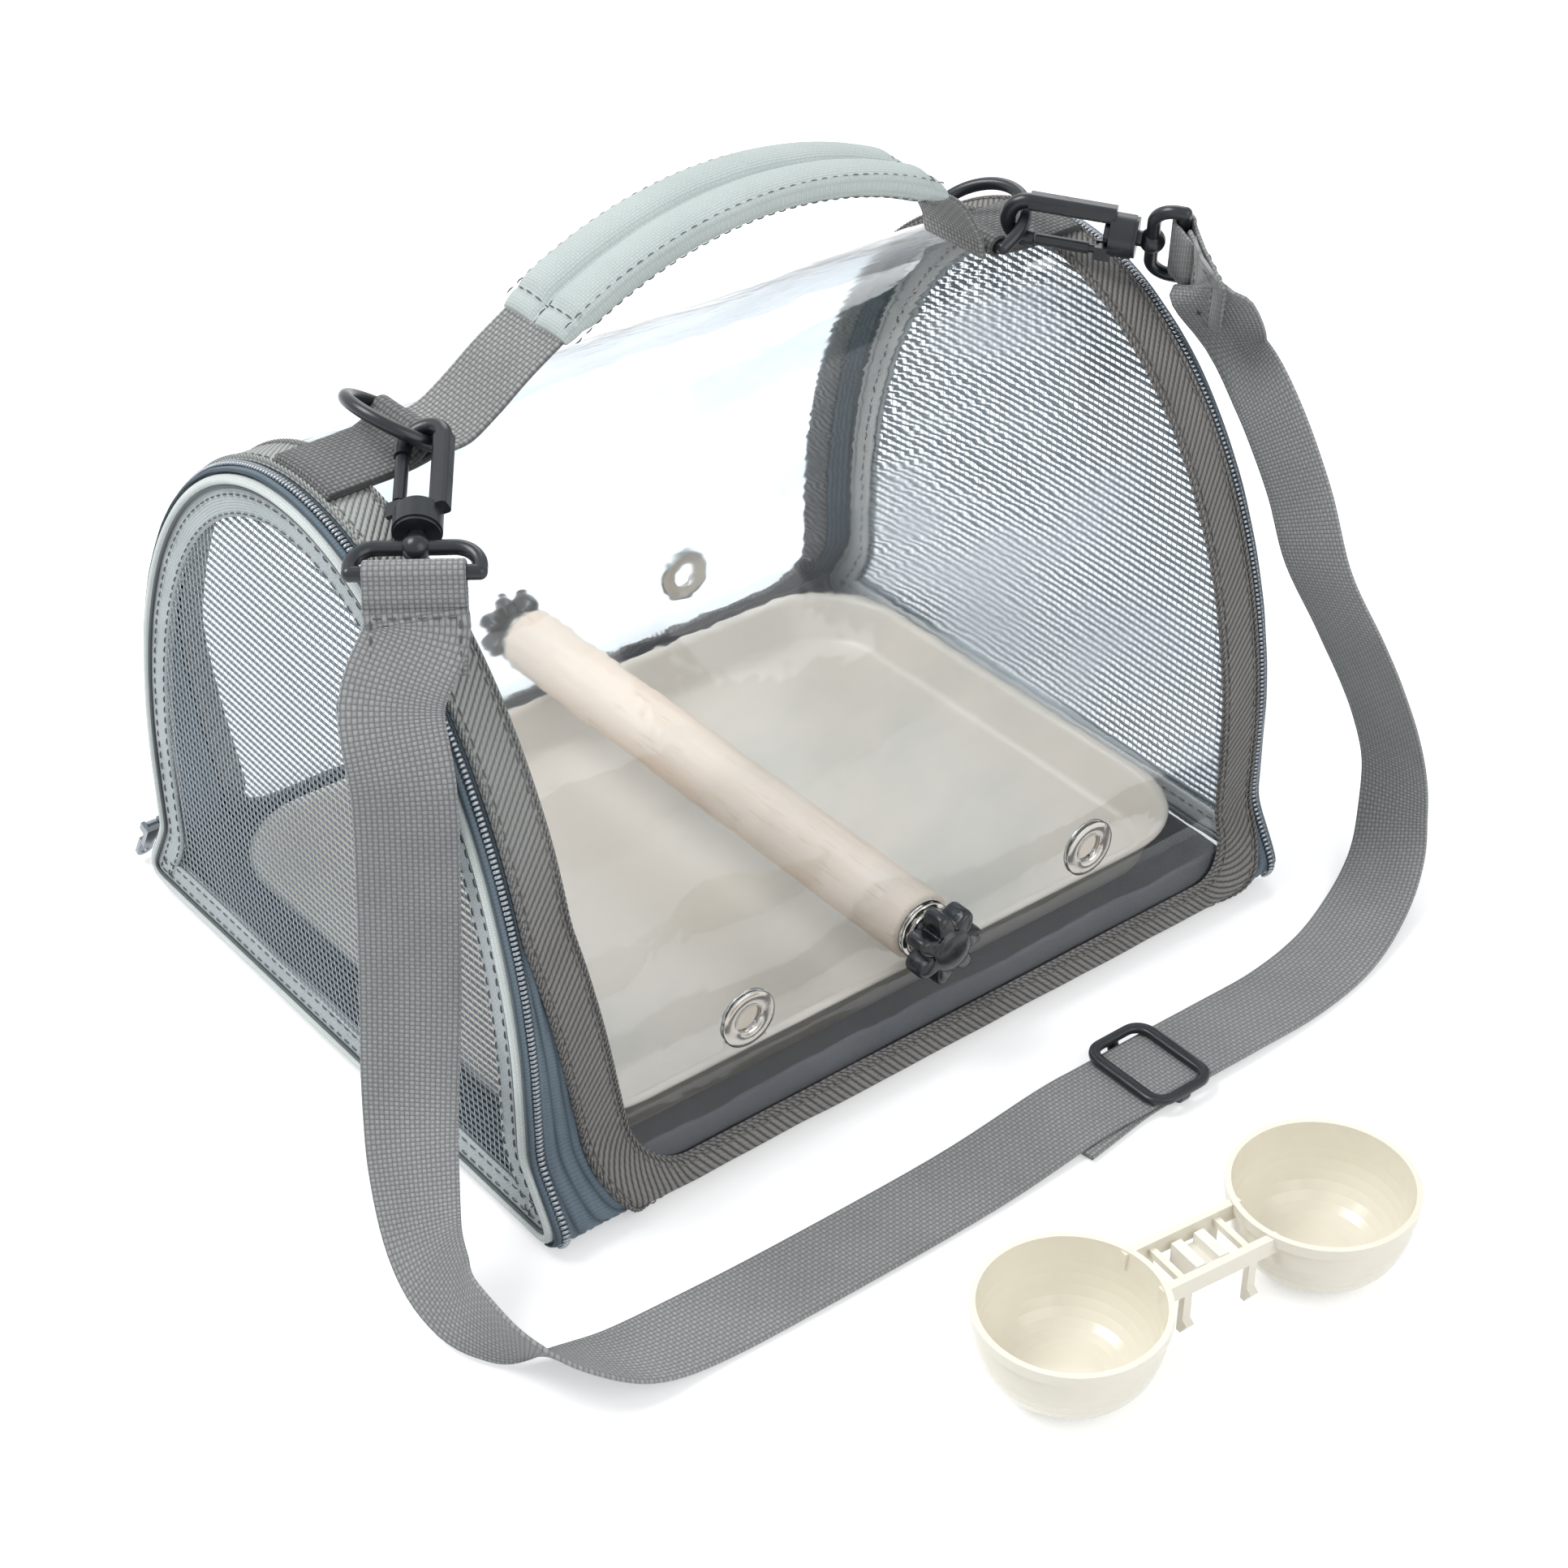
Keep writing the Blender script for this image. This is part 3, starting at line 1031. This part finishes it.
def add_tray():
    # half length, half width, corner radius and height: up the outside, over the rim and down the inside
    levels = [(103, 72, 17, 4.8), (107.5, 76.5, 21, 4.85), (109.4, 78.4, 22.5, 5.4),
              (110.6, 79.6, 23.6, 6.6), (114.1, 83.1, 26.8, 18.6), (115.8, 84.8, 28, 19.3),
              (116.7, 85.7, 28.7, 19.7), (117, 86, 29, 20.25), (116.7, 85.7, 28.7, 20.8),
              (115.9, 84.9, 28, 21), (114.9, 83.9, 27.2, 20.95), (114, 83, 26.5, 20.5),
              (113.2, 82.2, 26, 19.4), (109.4, 78.4, 22.6, 9.2), (108.6, 77.6, 21.9, 8),
              (107.4, 76.4, 20.8, 7.2), (105.6, 74.6, 19.2, 6.85), (102, 71, 16, 6.8),
              (60, 40, 9, 6.8), (20, 14, 4, 6.8)]
    tray = stacked("moulded_tray", [rounded_rectangle(*level, n=13) for level in levels], TRAY_PLASTIC,
                   "drip_tray", "tray_plastic")
    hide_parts("tray")


def add_tabs():
    """Webbing that lies on the ridge, goes round each D-ring's bar and back on itself."""
    for side, sign in SIDES:
        turn = np.radians(np.linspace(-105, 150, 18))
        path = [(32, 0.5), (24, 0.5), (14, 0.5), (7, 0.55), (3.5, 0.6)]
        path += [(-2.62 * math.cos(t - 0.2), 3.4 + 2.62 * math.sin(t - 0.2)) for t in turn]
        path += [(5.6, 2.3), (9, 1.6), (16, 1.5), (24, 1.5), (31.2, 1.45)]
        path = np.array(path)
        s = np.linspace(-12.5, 12.5, 15)
        base, _ = wall(sign * (91 + path[:, :1]), s[None], path[:, 1:])
        lift = np.clip(1 - np.clip(path[:, 0] - 2, 0, 8) / 8, 0, 1)[:, None]
        drop = (RIDGE_Z + path[:, 1:] - base[..., 2]) * lift
        base[..., 2] += drop
        way = np.gradient(base, axis=0)
        up = unit(np.cross(way, np.gradient(base, axis=1)))
        run = lengths(base[:, 7])
        tab = cloth(side + "_ridge_tab", base, up, 0.95, run, s, TAB_WEBBING, "carrier", "webbing")
        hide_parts(side + "_ring_tab")


# ---- handle ----
ARC_CENTRE = np.array([13, 0, RIDGE_Z - 87])
ARC_R, ARC_FROM, SLEEVE_LEN, PAD_H = 125, math.radians(-31.9), 131, 4.8


def on_arc(distance, side=0.0, out=0.0):
    """A point of the handle's arc: along it, to the side and outwards."""
    a = ARC_FROM + distance / ARC_R
    return ARC_CENTRE + np.array([(ARC_R + out) * math.sin(a), side, (ARC_R + out) * math.cos(a)])


def sleeve_height(v, k):
    """Half height of the sleeve's two rolls at v, from -1 to 1 across it."""
    q = (abs(v) - 0.5) / 0.5
    return k * (0.9 + (PAD_H - 0.9) * max(0.0, 1 - q * q) ** 0.6)


def add_handle():
    around = np.linspace(0, 2 * math.pi, 73)[:-1]
    puckers = noise(14, 6, seed=77)
    steps = np.concatenate([[0, 0.5, 1.4], np.linspace(2.6, SLEEVE_LEN - 2.6, 92),
                            [SLEEVE_LEN - 1.4, SLEEVE_LEN - 0.5, SLEEVE_LEN]])
    rings = []
    for s in steps:
        e = min(s, SLEEVE_LEN - s)
        k = 0.35 + 0.65 * math.sqrt(min(1, e / 9))
        half = 13.4 + 0.8 * min(1, e / 9)
        pinch = 1 - 0.28 * math.exp(-((e - 5.5) / 1.5) ** 2)
        ring = []
        for t in around:
            v = math.cos(t)
            rise = math.copysign(1, math.sin(t)) if abs(math.sin(t)) > 1e-6 else 0
            edge = min(1.0, (1 - abs(v)) / 0.06 + 0.15)
            height = rise * sleeve_height(v, k) * pinch * math.sqrt(edge) * (1 if rise > 0 else 0.92)
            ring.append(on_arc(s, half * v, height))
        rings.append(ring)
    rings = np.array(rings)
    middle = np.array([on_arc(s) for s in steps])
    out = unit(rings - middle[:, None])
    fade = np.clip(np.minimum(steps, SLEEVE_LEN - steps) / 8, 0, 1)[:, None]
    rings += out * (0.16 * puckers(rings) * fade)[..., None]
    v = 14 * np.cos(around)
    faces, corners = tube_faces(len(steps), len(around), steps, v)
    sleeve = build("padded_sleeve", rings, faces, corners, SLEEVE, "handle", "sleeve")
    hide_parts("handle_sleeve")
    rows = []
    inside = np.linspace(2, SLEEVE_LEN - 2, 60)
    radial = np.array([unit(on_arc(s, 0, 1) - on_arc(s)) for s in inside])
    for side in (0, -12.6, 12.6):
        high = sleeve_height(side / 14.2, 1) + (0.1 if side else 0.25)
        rows.append((np.array([on_arc(s, side, high * (0.9 if side else 1)) for s in inside]), radial, False))
        rows.append((np.array([on_arc(s, side, -high * 0.92) for s in inside]), -radial, False))
    for s in (5.5, SLEEVE_LEN - 5.5):
        across = np.linspace(-12, 12, 25)
        for face in (1, -1):
            line = np.array([on_arc(s, y, face * (0.72 * sleeve_height(y / 14.2, 0.95) + 0.2))
                             for y in across])
            rows.append((line, np.broadcast_to(face * unit(on_arc(s, 0, 1) - on_arc(s)), line.shape), False))
    stitches("sleeve_stitches", rows, THREAD_GREY, "handle", "sleeve", 2.3, 1.2, 0.2)
    left = [on_arc(2), on_arc(0), on_arc(-0.1) + [-10, 0, -6], [-73, 0, RIDGE_Z + 6.2], [-80, 0, RIDGE_Z + 2],
            [-84, 0, RIDGE_Z + 0.9], [-89, 0, RIDGE_Z + 0.8]]
    right = [on_arc(SLEEVE_LEN - 2), on_arc(SLEEVE_LEN), on_arc(SLEEVE_LEN + 0.1) + [6, 0, -4.5],
             [82, 0, RIDGE_Z + 13], [85.3, 0, RIDGE_Z + 7], [86.2, 0, RIDGE_Z + 3], [87, 0, RIDGE_Z + 0.6]]
    for side, points in (("left", left), ("right", right)):
        web, line = ribbon(side + "_handle_web", points, [[0, 1, 0]] * len(points), 6, WEB_W, 1.5, WEBBING,
                           None, "webbing")
        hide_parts(side + "_handle_webbing")
        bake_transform(web)


# ---- finishes of the CAD parts that keep their own shape ----
def dress(material, *names):
    for name in names:
        node = nodes[name]
        node.data.materials.clear()
        node.data.materials.append(material)


def dress_nodes():
    for side in ("left", "right"):
        dress(HOOK_PLASTIC, *(side + part for part in ("_ring", "_hook", "_gate", "_strap_eye")))
        dress(ZIP_METAL, side + "_slider", side + "_pull")
    dress(NICKEL, "perch_studs", "perch_washers")
    dress(BOARD, "base_board")
    dress(FEEDER_CREAM, "feeder_cups")
    dress(FEEDER_WHITE, "feeder_block")


# ---- floor, backdrop and light ----
def seen_mask(g):
    """1 for what the camera sees, straight, mirrored or through the clear sheet."""
    light = g.add("LightPath").outputs
    return g.math("MAXIMUM", g.math("MAXIMUM", light["Is Camera Ray"], light["Is Glossy Ray"]),
                  light["Is Transmission Ray"])


def add_studio():
    material, g, shader = new_material("studio_floor")
    shader.inputs["Base Color"].default_value = (0.86, 0.865, 0.87, 1)
    shader.inputs["Roughness"].default_value = 0.9
    shader.inputs["Specular IOR Level"].default_value = 0.1
    shader.inputs["Emission Color"].default_value = (1, 1, 1, 1)
    g.put(shader.inputs["Emission Strength"], g.times(seen_mask(g), 0.42))
    mesh = bpy.data.meshes.new("studio_floor")
    reach, drop = 6, -0.0006
    mesh.from_pydata([(x * reach, y * reach, drop) for x, y in ((-1, -1), (1, -1), (1, 1), (-1, 1))], [],
                     [(0, 1, 2, 3)])
    mesh.materials.append(material)
    floor = add_object("studio_floor", mesh)
    world = bpy.data.worlds.new("studio")
    world.use_nodes = True
    bpy.context.scene.world = world
    g = Graph(world.node_tree)
    back = world.node_tree.nodes["Background"]
    back.inputs["Color"].default_value = (0.97, 0.985, 1.0, 1)
    g.put(back.inputs["Strength"], g.math("MULTIPLY_ADD", seen_mask(g), 0.45, 0.55))
    for name, place, size, power in (("key_light", (-0.75, 0.55, 1.45), 0.8, 16.5),
                                     ("fill_light", (0.2, -1.3, 0.9), 1.2, 6.5),
                                     ("back_light", (0.9, 0.9, 1.1), 0.8, 4.5)):
        data = bpy.data.lights.new(name, "AREA")
        data.energy, data.size = power, size
        lamp = add_object(name, data)
        lamp.location = place
        lamp.rotation_mode = "QUATERNION"
        lamp.rotation_quaternion = (Vector((0, 0, 0.08)) - Vector(place)).to_track_quat("-Z", "Y")
    # a bright strip at the front right, which shows as a streak on the clear wall
    data = bpy.data.lights.new("strip_light", "AREA")
    data.shape, data.size, data.size_y, data.energy = "RECTANGLE", 0.42, 0.075, 0.75
    lamp = add_object("strip_light", data)
    place = Vector((0.57, -0.775, 0.29))
    along = Vector((0.26, 0.145, 0.18)).normalized()
    toward = (Vector((0.045, -0.077, 0.12)) - place).normalized()
    across = toward.cross(along).normalized()
    lamp.matrix_world = Matrix((along, across, along.cross(across))).transposed().to_4x4()
    lamp.location = place
    lamp.visible_camera = False


add_camera()
add_strap()
add_bottom()
add_clear_wall()
add_tape()
for door_side in ("left", "right"):
    add_zip(door_side)
    add_door(door_side)
add_eyelets()
add_perch()
add_tray()
add_tabs()
add_handle()
dress_nodes()
add_studio()
bpy.context.scene.view_settings.view_transform = "Standard"
